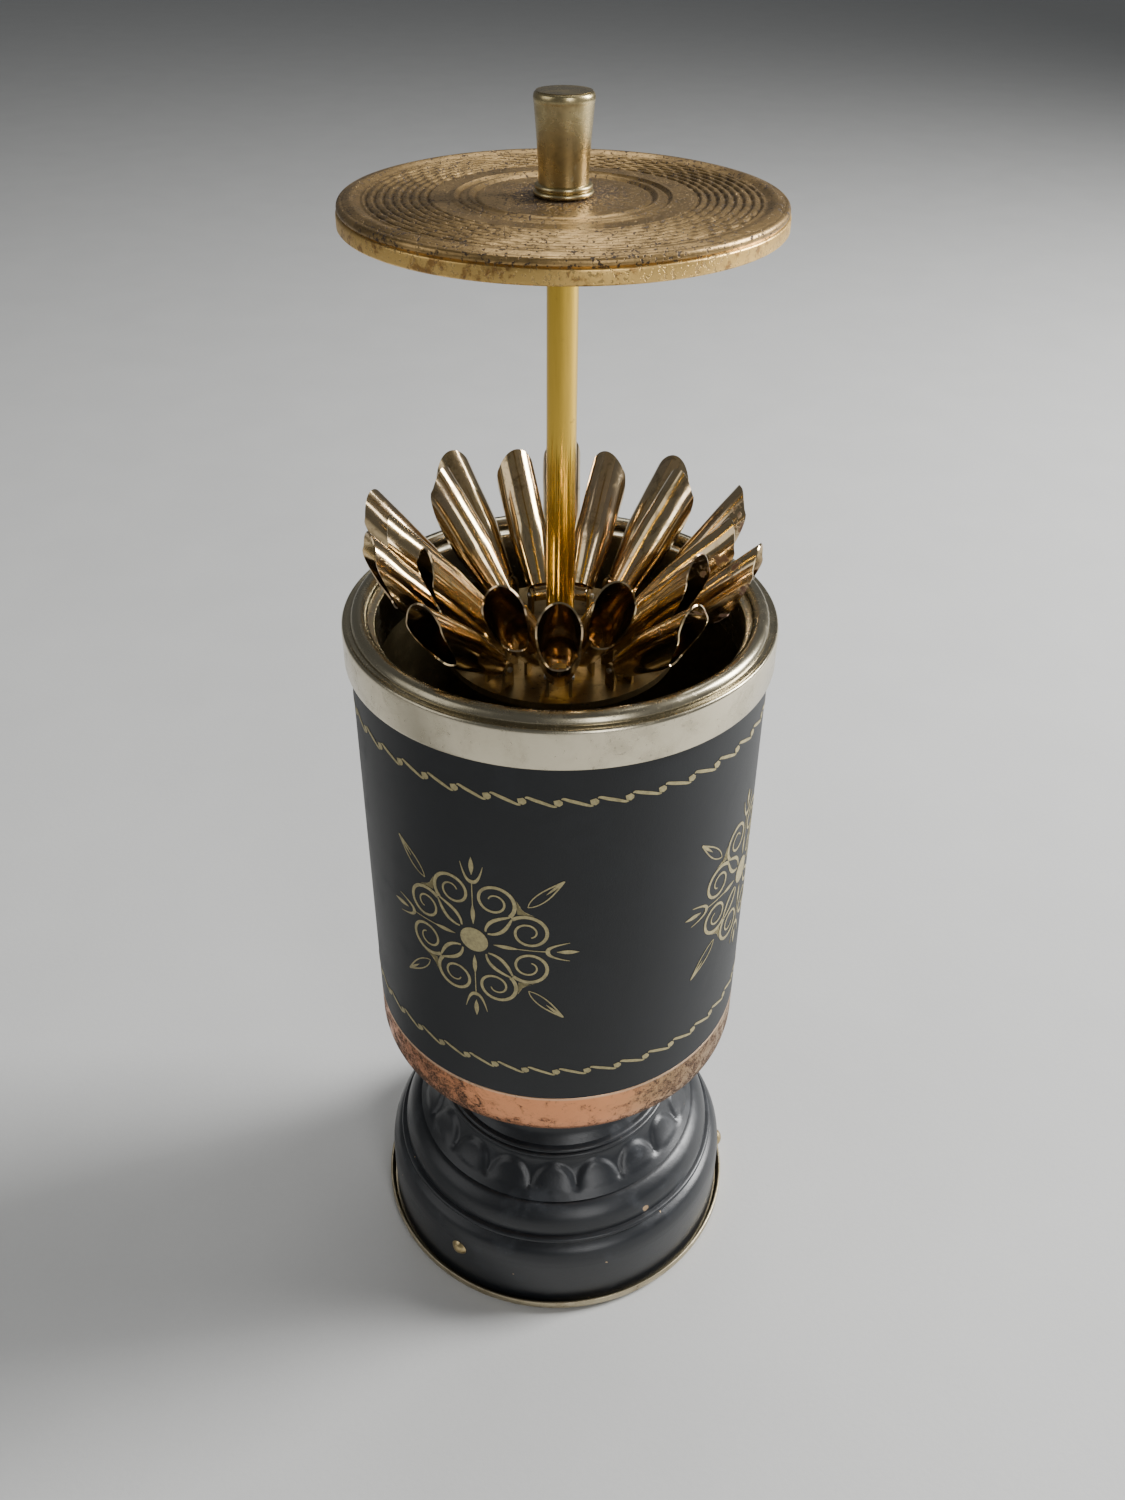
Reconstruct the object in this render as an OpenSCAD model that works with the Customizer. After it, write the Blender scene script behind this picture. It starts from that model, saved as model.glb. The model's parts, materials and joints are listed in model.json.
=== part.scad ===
// Musical cigarette carousel: a round cup on a bell-shaped pedestal, with a
// pull-up lid that lifts a bouquet of rolled sheet holders out over the rim.
// Units are millimetres. Z is up, the floor is Z = 0, the front is -Y.

/* [Cup] */
// Outside diameter of the black sleeve
cup_diameter = 90.6; // [80:1:110]
// Height of the underside of the cup above the floor
cup_base_height = 67; // [60:1:80]
// Height of the cup from its underside to the top of the rim bead
cup_height = 121.4; // [110:1:140]
// Height of the copper band at the foot of the cup
band_height = 15; // [8:1:25]
// Height of the plain outer band of the rim ring
rim_height = 9; // [6:0.5:14]
// Clear diameter inside the rim ring
mouth_diameter = 78.8; // [70:0.5:90]
// Sheet thickness of the cup parts
cup_sheet = 0.8; // [0.5:0.1:1.2]

/* [Pedestal] */
// Outside diameter of the pedestal bell at the floor
bell_diameter = 92.8; // [80:1:110]
// Smallest diameter of the pedestal neck
neck_diameter = 51.6; // [40:1:70]
// Outside diameter of the winding tray
tray_diameter = 96.4; // [84:1:116]
// Height of the tray edge above the floor
tray_height = 3.6; // [2.6:0.2:5]
// Sheet thickness of the bell
bell_sheet = 0.9; // [0.6:0.1:1.5]
// Height of the three side screws above the floor
screw_height = 14.5; // [9:0.5:15]

/* [Lid and rod] */
// Diameter of the lid
lid_diameter = 80.6; // [72:0.5:92]
// Depth of the lid edge
lid_edge = 4.3; // [3:0.1:6]
// Travel of the lid from fully up to resting on the rim ledge
lid_travel = 80; // [76:1:90]
// Outside diameter of the pull-up rod
rod_diameter = 6; // [5:0.2:8]
// Height of the knob
knob_height = 17; // [12:1:22]
// Largest diameter of the knob
knob_diameter = 10.7; // [8:0.1:14]

/* [Holders] */
// Number of holders in the outer ring
outer_holders = 10; // [8:1:10]
// Number of holders in the inner ring
inner_holders = 10; // [8:1:10]
// Clear diameter inside a holder
holder_bore = 7.8; // [7:0.1:7.8]
// Sheet thickness of a holder
holder_sheet = 0.35; // [0.3:0.05:0.5]
// Outside radius of a holder just above its hinge
foot_radius = 2.7; // [2.4:0.1:2.8]
// Height above the pivot at which a holder reaches its full bore
cone_height = 14; // [10:0.5:16]
// Height of the tall tongue of a holder above its pivot
tongue_height = 32.5; // [28:0.5:33]
// Height of the low front lip of a holder above its pivot
lip_height = 17.5; // [16:0.5:19]
// Pivot radius of the outer ring
outer_pivot_radius = 21.1; // [21:0.1:21.2]
// Pivot radius of the inner ring
inner_pivot_radius = 14.2; // [14.1:0.1:14.3]
// Depth of the pivots below the rim ledge with the rod pulled up
pivot_drop = 2.9; // [2:0.1:3]
// Largest lean of the outer holders from upright
outer_lean = 50; // [40:1:51]
// Largest lean of the inner holders from upright
inner_lean = 47; // [36:1:50]
// How far single outer holders stand up from the largest lean
outer_scatter = 9; // [0:1:10]
// How far single inner holders stand up from the largest lean
inner_scatter = 8; // [0:1:8]
// Diameter of the holder pivot pins
pin_diameter = 1.2; // [1:0.1:1.5]

/* [Hidden] */
$fn = 48;

cup_r = cup_diameter / 2;
cb = cup_base_height;
rim_top = cb + cup_height;
band_top = cb + band_height;
mouth_r = mouth_diameter / 2;
bell_r = bell_diameter / 2;
neck_r = neck_diameter / 2;
tray_r = tray_diameter / 2;
rod_r = rod_diameter / 2;
lid_r = lid_diameter / 2;
seat = rim_top - 3;
lid_gap = 0.3;
lid_top = seat + lid_gap + lid_edge + lid_travel;
lid_low = lid_top - lid_edge;
pivot_height = seat - pivot_drop;
tube_r = holder_bore / 2 + holder_sheet;
pin_r = pin_diameter / 2;
knuckle_r = pin_r + 0.9;
hub_top = pivot_height - 4;
post_r = 2;
fit = 0.05;
drum_top = 24.3;
neck_low = 43.2;
cap_low = cb - 1;
first_outer = 270;
first_inner = first_outer + 180 / outer_holders;
gear_module = 0.6;
barrel_teeth = 48;
cylinder_teeth = 24;
governor_teeth = 10;
cylinder_x = gear_module * (barrel_teeth + cylinder_teeth) / 2 + 0.05;
governor_y = gear_module * (cylinder_teeth + governor_teeth) / 2 + 0.05;

// Lean and heading of holder i, outer ring first. The scatter follows the
// golden angle so that neighbours never stand alike.
function is_outer(i) = i < outer_holders;
function heading(i) = is_outer(i) ? first_outer + i * 360 / outer_holders
  : first_inner + (i - outer_holders) * 360 / inner_holders;
function lean(i) = is_outer(i) ? outer_lean - outer_scatter * (1 + cos(i * 137.5)) / 2
  : inner_lean - inner_scatter * (1 + cos(i * 137.5)) / 2;
function pivot_r(i) = is_outer(i) ? outer_pivot_radius : inner_pivot_radius;
function twist(i) = 14 * sin(i * 97);

module at_screws() {
  for (a = [-3, 117, 237]) rotate([0, 0, a]) translate([0, 0, screw_height]) children();
}

// Through hole on the axis of its parent, opened from just below it.
module hole(r, h) {
  translate([0, 0, -1]) cylinder(r = r, h = h);
}

// ---- winding tray ----
module base_tray() {
  color("DarkKhaki") rotate_extrude() polygon([[3.2, 0.6], [tray_r - 1.2, 0.6],
    [tray_r - 0.3, 1.0], [tray_r, 1.8], [tray_r, tray_height],
    [tray_r - 0.7, tray_height], [tray_r - 0.7, 2.0], [tray_r - 1.4, 1.4], [3.2, 1.4]]);
}

module tray_felt() {
  color("DarkGreen") rotate_extrude() polygon([[7, 0], [tray_r - 1.9, 0],
    [tray_r - 1.9, 0.58], [7, 0.58]]);
}

module winding_arbor() {
  color("Silver") rotate_extrude() polygon([[0, 0.2], [6, 0.2], [6, 0.58], [3.15, 0.58],
    [3.15, 1.45], [6, 1.45], [6, 3.0], [2.5, 3.0], [2.5, 15.6], [1.5, 15.6],
    [1.5, 19.6], [0, 19.6]]);
}

// ---- pedestal ----
module bell_profile(g) {
  polygon([[bell_r - g, 1.8], [bell_r - g, 17.8], [bell_r - 0.4 - g, 19.6 - 0.1 * g],
    [bell_r - 1.3 - g, 21.2 - 0.4 * g], [bell_r - 2.6 - g, 22.6 - 0.7 * g],
    [bell_r - 3.6 - g, 23.5 - g], [bell_r - 3.2 - g, 24.3 - g], [bell_r - 3.5 - g, 25.0 - g],
    [bell_r - 4.1 - g, 25.3 - g], [bell_r - 4.8 - g, 27.2 - g],
    [bell_r - 6.2 - g, 29.4 - g], [bell_r - 8.2 - g, 31.4 - g],
    [bell_r - 10.6 - g, 33.2 - g], [bell_r - 13.0 - g, 35.4 - g],
    [neck_r + 6.2 - g, 37.8 - g], [neck_r + 5.0 - g, 40.6 - g],
    [neck_r + 4.6 - g, 41.8 - g], [neck_r + 5.0 - g, 42.5 - g],
    [neck_r + 4.5 - g, 43.2 - g], [neck_r + 3.3 - g, 43.8 - g],
    [neck_r + 1.4 - g, 45.8 - g * 0.6], [neck_r + 0.4 - g, 48.8 - g * 0.3],
    [neck_r - g, 52.4], [neck_r + 0.5 - g, 56.6 - g * 0.3], [neck_r + 2.0 - g, 60.6 - g * 0.6],
    [neck_r + 4.4 - g, cb - 3.0 - g * 0.8], [neck_r + 7.2 - g * 2.2, cb - 0.1 - g],
    [0, cb - 0.1 - g], [0, 1.8]]);
}

// The pressed shell between two heights, cut out of the whole bell outline.
module bell_section(low, high) {
  intersection() {
    difference() {
      bell_profile(0);
      translate([0, 0.01]) bell_profile(bell_sheet);
      translate([-1, 1]) square([bell_r - bell_sheet + 1, 6]);
    }
    translate([0, low]) square([bell_r + 1, high - low]);
  }
}

module pedestal_drum() {
  color([0.12, 0.12, 0.14]) difference() {
    rotate_extrude() bell_section(0, drum_top);
    at_screws() translate([bell_r - 4, 0, 0]) rotate([0, 90, 0]) cylinder(r = 1.35, h = 8);
  }
}

module pedestal_bell() {
  color([0.13, 0.13, 0.15]) rotate_extrude() bell_section(drum_top, neck_low);
}

module pedestal_neck() {
  color([0.12, 0.12, 0.14]) rotate_extrude() bell_section(neck_low, cap_low);
}

module pedestal_cap() {
  color([0.14, 0.14, 0.16]) translate([0, 0, cap_low]) difference() {
    cylinder(r = neck_r + 6.2, h = 0.9);
    hole(8, 9);
  }
}

module bell_screws() {
  color("Goldenrod") at_screws() {
    translate([bell_r - 7, 0, 0]) rotate([0, 90, 0]) cylinder(r = 1.2, h = 7.3);
    translate([bell_r + 0.02, 0, 0]) rotate([0, 90, 0]) rotate_extrude() intersection() {
      translate([0, -1.5]) circle(r = 2.7);
      square([4, 4]);
    }
  }
}

module movement_block() {
  color("BurlyWood") difference() {
    translate([0, 0, 5]) cylinder(r = bell_r - bell_sheet - 0.1, h = 12);
    translate([0, 0, 8]) cylinder(r = bell_r - 9.4, h = 20);
    hole(2.5 + fit, 20);
    at_screws() translate([bell_r - 7.4, 0, 0]) rotate([0, 90, 0]) cylinder(r = 1.2, h = 9);
  }
}

module thrust_ring() {
  color("DimGray") translate([0, 0, 1.7]) difference() {
    cylinder(r = bell_r - 5, h = 3.3);
    hole(bell_r - 14, 9);
  }
}

module neck_bush() {
  color("Gold") rotate_extrude() polygon([[post_r + fit, cb - 13], [7.8, cb - 13],
    [7.8, cb + 2.02], [11, cb + 2.02], [11, cb + 3.2], [9.6, cb + 4.4], [post_r + fit, cb + 4.4]]);
}

module neck_nut() {
  color("Silver") translate([0, 0, cb - 6.2]) difference() {
    cylinder(r = 13, h = 5, $fn = 6);
    translate([0, 0, -1]) cylinder(r = 7.82, h = 9);
  }
}

// ---- cup ----
module foot_band() {
  color([0.75, 0.51, 0.37]) rotate_extrude() polygon([[8, cb], [cup_r - 3.8, cb],
    [cup_r - 1.9, cb + 0.6], [cup_r - 0.6, cb + 2.0], [cup_r, cb + 4.2], [cup_r, band_top],
    [cup_r - cup_sheet, band_top], [cup_r - cup_sheet, cb + 4.4], [cup_r - 1.3, cb + 2.6],
    [cup_r - 2.3, cb + 1.35], [cup_r - 3.9, cb + 0.8], [8, cb + 0.8]]);
}

module cup_can() {
  color("DarkKhaki") rotate_extrude() polygon([[8, cb + 1.2], [cup_r - 4.3, cb + 1.2],
    [cup_r - 2.7, cb + 1.9], [cup_r - 1.5, cb + 3.2], [cup_r - 1, cb + 5.2],
    [cup_r - 1, seat - 1.2], [cup_r - 1.7, seat - 1.2], [cup_r - 1.7, cb + 5.4],
    [cup_r - 2.1, cb + 3.7], [cup_r - 3.0, cb + 2.6], [cup_r - 4.4, cb + 2.0], [8, cb + 2.0]]);
}

module outer_sleeve() {
  color([0.11, 0.12, 0.13]) rotate_extrude() translate([cup_r - cup_sheet, band_top + 0.1])
    square([cup_sheet, seat - 1.2 - band_top]);
}

module rim_ring() {
  color([0.8, 0.76, 0.64]) rotate_extrude() {
    polygon([[mouth_r, seat - 11], [mouth_r + 0.7, seat - 11], [mouth_r + 0.7, seat - 0.8],
      [cup_r + 0.1, seat - 0.8], [cup_r + 0.1, seat - 8.4], [cup_r + 0.8, seat - 8.4],
      [cup_r + 1.2, seat - 7.6], [cup_r + 1.2, seat + rim_height - 8.9],
      [cup_r + 0.7, seat + rim_height - 8.2], [cup_r - 0.1, seat + 0.9],
      [cup_r - 0.6, seat + 0.5], [mouth_r + 1.8, seat], [mouth_r, seat]]);
    translate([cup_r - 2.5, seat + 0.9]) circle(r = 2.1);
  }
}

// ---- music movement ----
module gear(teeth, h, bore) {
  p = gear_module * teeth / 2;
  step = 360 / teeth;
  linear_extrude(height = h) difference() {
    polygon([for (i = [0 : teeth - 1]) each [
      for (q = [[-0.30, -1.2], [-0.17, 0], [-0.08, 0.85], [0.08, 0.85], [0.17, 0], [0.30, -1.2]])
        let (a = (i + q[0]) * step, r = p + q[1] * gear_module) [r * cos(a), r * sin(a)]]]);
    circle(r = bore);
  }
}

module bedplate() {
  color("Goldenrod") difference() {
    translate([0, 0, 8.1]) cylinder(r = bell_r - 10.4, h = 1.6);
    hole(3.2, 20);
    translate([cylinder_x, 0, 0]) hole(0.8 + fit, 20);
    translate([cylinder_x, governor_y, 0]) hole(0.5 + fit, 20);
  }
}

module bridge_posts() {
  color("Goldenrod") for (p = [[31, -11.4], [31, 12], [13, 27]]) translate([p[0], p[1], 9.7])
    cylinder(r = 1.5, h = 15.3);
}

module movement_bridge() {
  color("Goldenrod") difference() {
    translate([0, 0, 25]) intersection() {
      linear_extrude(height = 1.2) polygon([[34, -14], [34, 15], [15, 30], [9, 27], [17, 6], [17, -14]]);
      cylinder(r = bell_r - 11.5, h = 3);
    }
    translate([cylinder_x, 0, 0]) hole(0.8 + fit, 40);
    translate([cylinder_x, governor_y, 0]) hole(0.5 + fit, 40);
  }
}

module comb() {
  color("Silver") translate([cylinder_x - 1.2, -7.9, 10.6]) {
    for (i = [0 : 8]) translate([0, 0, i * 1.15]) cube([9, 0.7, 0.8]);
    translate([9, -1.2, -0.9]) cube([4, 2.4, 11.6]);
  }
}

module spring_barrel() {
  color("Gold") {
    rotate_extrude() polygon([[11.8, 10.2], [12.6, 10.2], [12.6, 21.5], [2.02, 21.5],
      [2.02, 20.4], [1.5 + fit, 20.4], [1.5 + fit, 16.4], [3.0, 16.4], [3.0, 20.7], [11.8, 20.7]]);
    translate([0, 0, 21.5]) gear(barrel_teeth, 1.4, 2.02);
  }
}

module mainspring() {
  turns = 4;
  n = 18 * turns;
  color("SteelBlue") translate([0, 0, 11]) linear_extrude(height = 4.8) polygon(concat(
    [for (i = [0 : n]) let (a = i * 20, r = 3.4 + 8.0 * i / n) [r * cos(a), r * sin(a)]],
    [for (i = [n : -1 : 0]) let (a = i * 20, r = 3.8 + 7.9 * i / n) [r * cos(a), r * sin(a)]]));
}

module guide_post() {
  color("Silver") rotate_extrude() polygon([[0, 20.6], [post_r, 20.6],
    [post_r, hub_top + 0.3], [rod_r - 0.5, hub_top + 0.3], [rod_r - 0.5, hub_top + 2.6],
    [rod_r - 0.9, hub_top + 3], [0, hub_top + 3]]);
}

module pin_cylinder() {
  color("Gold") translate([cylinder_x, 0, 0]) {
    translate([0, 0, 8.3]) cylinder(r = 0.8, h = 17.8);
    translate([0, 0, 10.3]) cylinder(r = 6, h = 10.6);
    for (i = [0 : 8], k = [0 : 2]) rotate([0, 0, i * 53 + k * 120 + 30])
      translate([5.8, 0, 11 + i * 1.15]) rotate([0, 90, 0]) cylinder(r = 0.2, h = 0.6, $fn = 16);
    translate([0, 0, 21.5]) rotate([0, 0, 180 + 180 / cylinder_teeth])
      gear(cylinder_teeth, 1.4, 0.7);
  }
}

module governor() {
  color("Silver") translate([cylinder_x, governor_y, 0]) {
    translate([0, 0, 8.3]) cylinder(r = 0.5, h = 17.8);
    translate([-3.6, -0.2, 11]) cube([7.2, 0.4, 7]);
    translate([0, 0, 21.5]) rotate([0, 0, -90 + 180 / governor_teeth])
      gear(governor_teeth, 1.4, 0.4);
  }
}

// ---- rod, hub and lid ----
module rod_tube() {
  color("Gold") translate([0, 0, hub_top - 6]) difference() {
    cylinder(r = rod_r, h = lid_top - 0.85 - hub_top + 6);
    translate([0, 0, -1]) cylinder(r = rod_r - 0.4, h = 200);
  }
}

module rod_bush() {
  color("Goldenrod") translate([0, 0, hub_top - 6]) difference() {
    cylinder(r = rod_r - 0.42, h = 6);
    translate([0, 0, -1]) cylinder(r = post_r + fit, h = 9);
  }
}

module at_holders() {
  for (i = [0 : outer_holders + inner_holders - 1])
    rotate([0, 0, heading(i)]) translate([pivot_r(i), 0, pivot_height]) children();
}

module holder_hub() {
  color("DarkGoldenrod") difference() {
    union() {
      translate([0, 0, hub_top - 1.5]) cylinder(r = outer_pivot_radius + 4, h = 1.5);
      translate([0, 0, hub_top - 6]) cylinder(r = rod_r + 1.8, h = 8);
      at_holders() for (s = [-1, 1]) translate([0, s * 2.3, 0]) {
        rotate([90, 0, 0]) cylinder(r = knuckle_r, h = 0.6, center = true);
        translate([-knuckle_r, -0.3, -4.2]) cube([2 * knuckle_r, 0.6, 4.2]);
      }
    }
    translate([0, 0, hub_top - 8]) cylinder(r = rod_r + 0.02, h = 20);
    at_holders() rotate([90, 0, 0]) cylinder(r = pin_r + 0.02, h = 8, center = true);
  }
}

module hinge_pins() {
  color("Silver") at_holders() rotate([90, 0, 0]) cylinder(r = pin_r, h = 6.2, center = true);
}

module lid_plate() {
  color([0.55, 0.45, 0.31]) rotate_extrude() {
    polygon([[2.05, lid_top - 0.8], [lid_r - 1.7, lid_top - 0.8], [lid_r - 0.7, lid_top - 1.8],
      [lid_r - 0.7, lid_low], [lid_r, lid_low], [lid_r, lid_top - 1.1],
      [lid_r - 0.35, lid_top - 0.35], [lid_r - 1.1, lid_top], [2.05, lid_top]]);
    translate([lid_r - 2.6, lid_top - 0.1]) circle(r = 0.6);
  }
}

module lid_liner() {
  color("Gray") translate([0, 0, lid_low + 0.3]) difference() {
    cylinder(r = lid_r - 0.8, h = 0.8);
    translate([0, 0, -1]) cylinder(r = rod_r + 0.05, h = 9);
  }
}

module knob_stud() {
  color("Silver") rotate_extrude() polygon([[0, lid_top - 8], [rod_r - 0.42, lid_top - 8],
    [rod_r - 0.42, lid_top - 0.9], [2, lid_top - 0.9], [2, lid_top + knob_height - 4],
    [0, lid_top + knob_height - 4]]);
}

module knob() {
  k = knob_diameter / 2;
  t = lid_top + knob_height;
  color([0.72, 0.67, 0.5]) rotate_extrude() {
    polygon([[2.05, lid_top + 0.02], [k - 0.5, lid_top + 0.02], [k - 0.3, lid_top + 0.6],
      [k - 0.3, lid_top + 1.8], [k - 0.7, lid_top + 2.6], [k - 0.65, lid_top + 5], [k - 0.1, t - 3],
      [k, t - 2], [k - 0.25, t - 1.1], [k - 0.9, t - 0.45], [k - 2.2, t - 0.1], [0, t],
      [0, t - 3.6], [2.05, t - 3.6]]);
    translate([k - 0.9, lid_top + 1.2]) circle(r = 0.9);
  }
}

// ---- holders ----
// Local frame: pin along Y, tube up Z, open front lip towards +X.
module rolled_tube() {
  difference() {
    intersection() {
      rotate_extrude() polygon([[0, 1.8], [foot_radius, 1.8], [tube_r, cone_height],
        [tube_r, tongue_height + 2], [tube_r - holder_sheet, tongue_height + 2],
        [tube_r - holder_sheet, cone_height + 0.1], [foot_radius - holder_sheet, 2.3], [0, 2.3]]);
      rotate([90, 0, 90]) linear_extrude(height = 20, center = true) {
        translate([-tube_r - 0.25, 0]) square([2 * tube_r + 0.5, tongue_height - tube_r - 0.25]);
        translate([0, tongue_height - tube_r - 0.25]) circle(r = tube_r + 0.25);
      }
    }
    rotate([90, 0, 0]) linear_extrude(height = 20, center = true) {
      translate([tube_r + 5.2, lip_height + 9.6]) circle(r = 11);
      translate([-1.2, lip_height + 10.4]) square([20, 30]);
    }
  }
}

module holder(i) {
  color([0.72, 0.58, 0.38]) rotate([0, 0, heading(i)]) translate([pivot_r(i), 0, pivot_height])
    rotate([0, lean(i), 0]) {
      rotate([0, 0, twist(i)]) rolled_tube();
      difference() {
        union() {
          rotate([90, 0, 0]) cylinder(r = knuckle_r, h = 3.4, center = true);
          translate([-1, -1.7, 0]) cube([2, 3.4, 2.05]);
        }
        rotate([90, 0, 0]) cylinder(r = pin_r + fit, h = 8, center = true);
      }
    }
}

module holder_01() { holder(0); }
module holder_02() { holder(1); }
module holder_03() { holder(2); }
module holder_04() { holder(3); }
module holder_05() { holder(4); }
module holder_06() { holder(5); }
module holder_07() { holder(6); }
module holder_08() { holder(7); }
module holder_09() { holder(8); }
module holder_10() { holder(9); }
module holder_11() { holder(10); }
module holder_12() { holder(11); }
module holder_13() { holder(12); }
module holder_14() { holder(13); }
module holder_15() { holder(14); }
module holder_16() { holder(15); }
module holder_17() { holder(16); }
module holder_18() { holder(17); }
module holder_19() { holder(18); }
module holder_20() { holder(19); }

// ---- picks ----
base_tray();
tray_felt();
winding_arbor();
pedestal_drum();
pedestal_bell();
pedestal_neck();
pedestal_cap();
bell_screws();
movement_block();
thrust_ring();
neck_bush();
neck_nut();
foot_band();
cup_can();
outer_sleeve();
rim_ring();
bedplate();
movement_bridge();
comb();
bridge_posts();
spring_barrel();
mainspring();
guide_post();
pin_cylinder();
governor();
rod_tube();
rod_bush();
holder_hub();
hinge_pins();
lid_plate();
lid_liner();
knob_stud();
knob();
holder_01();
holder_02();
holder_03();
holder_04();
holder_05();
holder_06();
holder_07();
holder_08();
holder_09();
holder_10();
holder_11();
holder_12();
holder_13();
holder_14();
holder_15();
holder_16();
holder_17();
holder_18();
holder_19();
holder_20();
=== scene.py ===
"""Looks of a musical cigarette carousel: turned shells, rolled holders, gold print and stage.

Blender's lengths are metres. Outlines and sizes below are millimetres, scaled by MM.
"""

import json
import math

import bmesh
import bpy
from mathutils import Matrix, Vector, noise


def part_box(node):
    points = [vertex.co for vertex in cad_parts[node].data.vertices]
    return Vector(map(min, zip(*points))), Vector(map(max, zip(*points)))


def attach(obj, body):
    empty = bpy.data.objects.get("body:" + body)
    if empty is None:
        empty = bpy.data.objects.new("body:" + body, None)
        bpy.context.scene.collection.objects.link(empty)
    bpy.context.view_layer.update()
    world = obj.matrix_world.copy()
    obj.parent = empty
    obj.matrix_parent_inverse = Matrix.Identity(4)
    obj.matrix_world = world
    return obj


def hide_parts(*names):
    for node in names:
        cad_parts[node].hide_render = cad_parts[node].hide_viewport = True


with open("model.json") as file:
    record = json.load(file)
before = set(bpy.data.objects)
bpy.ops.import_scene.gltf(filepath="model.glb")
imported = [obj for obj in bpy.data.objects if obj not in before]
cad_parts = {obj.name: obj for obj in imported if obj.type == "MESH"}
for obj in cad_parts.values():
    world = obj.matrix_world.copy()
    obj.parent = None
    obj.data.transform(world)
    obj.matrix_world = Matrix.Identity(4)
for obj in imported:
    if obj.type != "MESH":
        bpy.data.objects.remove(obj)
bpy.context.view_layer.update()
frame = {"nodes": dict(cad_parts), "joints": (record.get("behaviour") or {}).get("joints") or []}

bl_info = {
    "name": "Cigarette Carousel",
    "version": (1, 0, 0),
    "blender": (4, 5, 0),
    "location": "3D View > Sidebar > Carousel",
    "description": "Turned shells, rolled holders, gold print and stage for a cigarette carousel",
    "category": "Object",
}

MM = 0.001
TAU = 2 * math.pi


# ---- places taken from the frame, in millimetres ----
def reach(node):
    """Radius, lowest height and highest height of a round node."""
    lowest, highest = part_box(node)
    return highest.x / MM, lowest.z / MM, highest.z / MM


BELL_R, BELL_LOW, _ = reach("pedestal_drum")
_, _, BELL_TOP = reach("pedestal_cap")
SLEEVE_R, SLEEVE_LOW, SLEEVE_TOP = reach("outer_sleeve")
BAND_R, BAND_LOW, BAND_TOP = reach("foot_band")
RIM_R, RIM_LOW, RIM_TOP = reach("rim_ring")
TRAY_R, TRAY_LOW, TRAY_TOP = reach("base_tray")
LID_R, LID_LOW, _ = reach("lid_plate")
ROD_R, ROD_LOW, ROD_TOP = reach("rod_tube")
KNOB_R, _, KNOB_TOP = reach("knob")
FOLDS = [joint for joint in frame["joints"] if joint["name"].startswith("fold_")]

# ---- sizes the pieces share, in millimetres ----
MOUTH_R = SLEEVE_R - 5.9  # bore of the rim
NECK_R = 25.8  # waist of the bell
NECK_BORE = 8  # hole through the bell's top and the cup's floor
STUD_BORE = 2.05  # hole through the lid and up into the knob
TRAY_BORE = 3.2
SHEET = 0.8  # sheet of the cup, the tray and the lid
BELL_SHEET = 0.9
ROD_WALL = 0.4
LID_TOP = LID_LOW + 4.3
RINGS = [16.2, 19.0]
GROOVE_PITCH = 1.55
GROOVES = [24.0 + GROOVE_PITCH * i for i in range(8)]
DASHES = 46
PETAL_LOW, PETAL_FOOT, PETAL_TOP = 32.4, 33.8, 40.2
PETAL_VALLEY = math.radians(279.2)
HOLDER_LOW = 1.8  # where the rolled sheet begins above its pivot
CONE = 12.2  # height over which a holder widens
FRONT, SHOULDER = math.radians(18), math.radians(105)
FOLD_MARGIN_DEG = 0.01  # a fold's range runs this much past upright
DENT = 0.14 / 4.3  # deepest dent as a share of a holder's radius
ROSETTE_HEADING, ROSETTE_HEIGHT = math.radians(247), 129
BORDER_HEIGHTS = (168.8, 91.4)

# ---- view, in metres ----
LIT = Vector((0, 0, 0.14))  # where the lamps point
LAMPS = (  # name, place, size, power
    ("key", (1.15, 0.30, 0.80), (0.45, 0.7), 42),
    ("fill", (-1.2, -0.4, 0.8), (0.9, 0.9), 3),
    ("front", (0.45, -1.1, 0.7), (0.35, 0.8), 5),
    ("top", (0.1, 0.5, 1.3), (0.7, 0.7), 5),
)
CAMERA_PLACE = (0.0008, -0.248, 0.326)
CAMERA_DOWN = math.radians(35.49)
CAMERA_ROLL = 0.01
LENS, SENSOR_HEIGHT = 31.73, 36


# ---- sizes and colours a user would change ----
def length(label, text, millimetres):
    return bpy.props.FloatProperty(
        name=label, description=text, default=millimetres * MM, unit="LENGTH", precision=5)


def colour(label, text, red, green, blue):
    return bpy.props.FloatVectorProperty(
        name=label, description=text, default=(red, green, blue), subtype="COLOR", min=0, max=1)


class CarouselSizes(bpy.types.PropertyGroup):
    sheet: length("Holder sheet", "Sheet thickness of a rolled holder", 0.35)
    lip: length("Holder lip", "Height of the low front lip above the pivot", 17.5)
    tongue: length("Holder tongue", "Height of the tall back tongue above the pivot", 32.5)
    foot: length("Holder foot", "Radius of a holder just above its hinge", 2.7)
    mouth: length("Holder mouth", "Radius of a holder at its mouth", 4.25)
    flare: length("Holder flare", "How far the shoulders of a holder turn outwards", 0.2)
    petal: length("Petal depth", "How far the petals stand out of the bell", 1.0)
    groove: length("Lid grooves", "Depth of the fine grooves in the lid", 0.34)
    print_height: length("Print height", "Thickness of the gold print on the sleeve", 0.06)
    petals: bpy.props.IntProperty(name="Petals", description="Petals around the bell", default=18)
    waves: bpy.props.IntProperty(name="Waves", description="Waves in one border", default=40)
    rosettes: bpy.props.IntProperty(name="Rosettes", description="Printed rosettes", default=4)


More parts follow.
